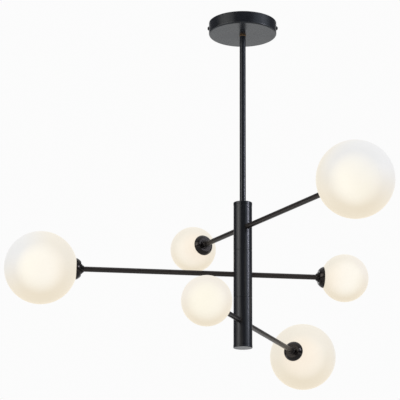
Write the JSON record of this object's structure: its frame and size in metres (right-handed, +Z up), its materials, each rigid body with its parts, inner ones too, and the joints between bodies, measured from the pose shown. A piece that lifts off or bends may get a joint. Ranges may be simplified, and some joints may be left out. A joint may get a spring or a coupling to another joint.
{
  "type": "branch chandelier",
  "caption": "Ceiling light with a canopy, a straight rod and a column of turning segments, each with a straight arm that carries a large and a small opal glass globe.",
  "frame": {"origin": "centre of the ceiling plane, between the two ceiling screw slots of the mounting bracket", "axes": "+Z up into the ceiling along the rod, +X along the bracket and its screw slots to the right in the picture, +Y away from the viewer"},
  "size_m": [0.6215, 0.7255, 0.5869],
  "materials": {
    "satin_black": "satin black powder coat on steel and aluminium",
    "brass": "plain turned brass, slightly darkened",
    "zinc_plated_steel": "zinc plated steel",
    "opal_glass": "opal white blown glass, etched satin outside",
    "lamp_glass": "frosted lamp glass, lit warm white",
    "white_ceramic": "unglazed white ceramic",
    "clear_silicone": "translucent silicone",
    "white_polyamide": "moulded polyamide",
    "wire_insulation": "silicone sheathed wire"
  },
  "bodies": {
    "ceiling_body": {"mounting_bracket": "zinc_plated_steel", "canopy": "satin_black", "canopy_side_screws": "satin_black", "earth_screw": "brass", "terminal_block": "white_polyamide", "rod_coupling": "brass", "canopy_washer": "zinc_plated_steel", "canopy_nut": "zinc_plated_steel", "down_rod": "satin_black", "column_stem": "zinc_plated_steel", "column_top_cap": "satin_black", "spacer_disc_upper": "satin_black", "spacer_disc_lower": "satin_black", "column_end_cap": "satin_black", "feed_wires": "wire_insulation"},
    "arm_upper": {"segment_upper": "satin_black", "arm_nuts_upper": "zinc_plated_steel", "arm_leads_upper": "wire_insulation", "long_arm_upper": "satin_black", "cup_upper_large": "satin_black", "lampholder_upper_large": "white_ceramic", "bulb_upper_large": "lamp_glass", "short_arm_upper": "satin_black", "cup_upper_small": "satin_black", "lampholder_upper_small": "white_ceramic", "bulb_upper_small": "lamp_glass"},
    "gasket_upper_large": {"gasket_upper_large": "clear_silicone"},
    "globe_upper_large": {"globe_upper_large": "opal_glass"},
    "gasket_upper_small": {"gasket_upper_small": "clear_silicone"},
    "globe_upper_small": {"globe_upper_small": "opal_glass"},
    "arm_middle": {"segment_middle": "satin_black", "arm_nuts_middle": "zinc_plated_steel", "arm_leads_middle": "wire_insulation", "long_arm_middle": "satin_black", "cup_middle_large": "satin_black", "lampholder_middle_large": "white_ceramic", "bulb_middle_large": "lamp_glass", "short_arm_middle": "satin_black", "cup_middle_small": "satin_black", "lampholder_middle_small": "white_ceramic", "bulb_middle_small": "lamp_glass"},
    "gasket_middle_large": {"gasket_middle_large": "clear_silicone"},
    "globe_middle_large": {"globe_middle_large": "opal_glass"},
    "gasket_middle_small": {"gasket_middle_small": "clear_silicone"},
    "globe_middle_small": {"globe_middle_small": "opal_glass"},
    "arm_lower": {"segment_lower": "satin_black", "arm_nuts_lower": "zinc_plated_steel", "arm_leads_lower": "wire_insulation", "long_arm_lower": "satin_black", "cup_lower_large": "satin_black", "lampholder_lower_large": "white_ceramic", "bulb_lower_large": "lamp_glass", "short_arm_lower": "satin_black", "cup_lower_small": "satin_black", "lampholder_lower_small": "white_ceramic", "bulb_lower_small": "lamp_glass"},
    "gasket_lower_large": {"gasket_lower_large": "clear_silicone"},
    "globe_lower_large": {"globe_lower_large": "opal_glass"},
    "gasket_lower_small": {"gasket_lower_small": "clear_silicone"},
    "globe_lower_small": {"globe_lower_small": "opal_glass"}
  },
  "joints": [
    {"name": "upper_arm_turn", "type": "hinge", "parent": "ceiling_body", "child": "arm_upper", "pos_m": [0, 0, -0.3669], "axis": [0, 0, 1], "range_deg": [-90, 90]},
    {"name": "upper_large_globe_travel", "type": "slide", "parent": "arm_upper", "child": "gasket_upper_large", "axis": [0.5075, -0.8616, 0], "range_m": [0, 0.0038]},
    {"name": "upper_large_globe_screw", "type": "hinge", "parent": "gasket_upper_large", "child": "globe_upper_large", "pos_m": [0.17012, -0.2888, -0.3669], "axis": [0.5075, -0.8616, 0], "range_deg": [0, 540]},
    {"name": "upper_small_globe_travel", "type": "slide", "parent": "arm_upper", "child": "gasket_upper_small", "axis": [-0.5075, 0.8616, 0], "range_m": [0, 0.0038]},
    {"name": "upper_small_globe_screw", "type": "hinge", "parent": "gasket_upper_small", "child": "globe_upper_small", "pos_m": [-0.0875, 0.14854, -0.3669], "axis": [-0.5075, 0.8616, 0], "range_deg": [0, 540]},
    {"name": "middle_arm_turn", "type": "hinge", "parent": "ceiling_body", "child": "arm_middle", "pos_m": [0, 0, -0.4469], "axis": [0, 0, 1], "range_deg": [-90, 90]},
    {"name": "middle_large_globe_travel", "type": "slide", "parent": "arm_middle", "child": "gasket_middle_large", "axis": [-0.9888, -0.1495, 0], "range_m": [0, 0.0038]},
    {"name": "middle_large_globe_screw", "type": "hinge", "parent": "gasket_middle_large", "child": "globe_middle_large", "pos_m": [-0.33141, -0.05012, -0.4469], "axis": [-0.9888, -0.1495, 0], "range_deg": [0, 540]},
    {"name": "middle_small_globe_travel", "type": "slide", "parent": "arm_middle", "child": "gasket_middle_small", "axis": [0.9888, 0.1495, 0], "range_m": [0, 0.0038]},
    {"name": "middle_small_globe_screw", "type": "hinge", "parent": "gasket_middle_small", "child": "globe_middle_small", "pos_m": [0.17046, 0.02578, -0.4469], "axis": [0.9888, 0.1495, 0], "range_deg": [0, 540]},
    {"name": "lower_arm_turn", "type": "hinge", "parent": "ceiling_body", "child": "arm_lower", "pos_m": [0, 0, -0.5269], "axis": [0, 0, 1], "range_deg": [-90, 90]},
    {"name": "lower_large_globe_travel", "type": "slide", "parent": "arm_lower", "child": "gasket_lower_large", "axis": [0.3272, 0.9449, 0], "range_m": [0, 0.0038]},
    {"name": "lower_large_globe_screw", "type": "hinge", "parent": "gasket_lower_large", "child": "globe_lower_large", "pos_m": [0.10968, 0.31673, -0.5269], "axis": [0.3272, 0.9449, 0], "range_deg": [0, 540]},
    {"name": "lower_small_globe_travel", "type": "slide", "parent": "arm_lower", "child": "gasket_lower_small", "axis": [-0.3272, -0.9449, 0], "range_m": [0, 0.0038]},
    {"name": "lower_small_globe_screw", "type": "hinge", "parent": "gasket_lower_small", "child": "globe_lower_small", "pos_m": [-0.05641, -0.16291, -0.5269], "axis": [-0.3272, -0.9449, 0], "range_deg": [0, 540]}
  ],
  "couplings": [
    {"joint": "upper_large_globe_travel", "follows": "upper_large_globe_screw", "m_per_rad": 0.00039789},
    {"joint": "upper_small_globe_travel", "follows": "upper_small_globe_screw", "m_per_rad": 0.00039789},
    {"joint": "middle_large_globe_travel", "follows": "middle_large_globe_screw", "m_per_rad": 0.00039789},
    {"joint": "middle_small_globe_travel", "follows": "middle_small_globe_screw", "m_per_rad": 0.00039789},
    {"joint": "lower_large_globe_travel", "follows": "lower_large_globe_screw", "m_per_rad": 0.00039789},
    {"joint": "lower_small_globe_travel", "follows": "lower_small_globe_screw", "m_per_rad": 0.00039789}
  ]
}
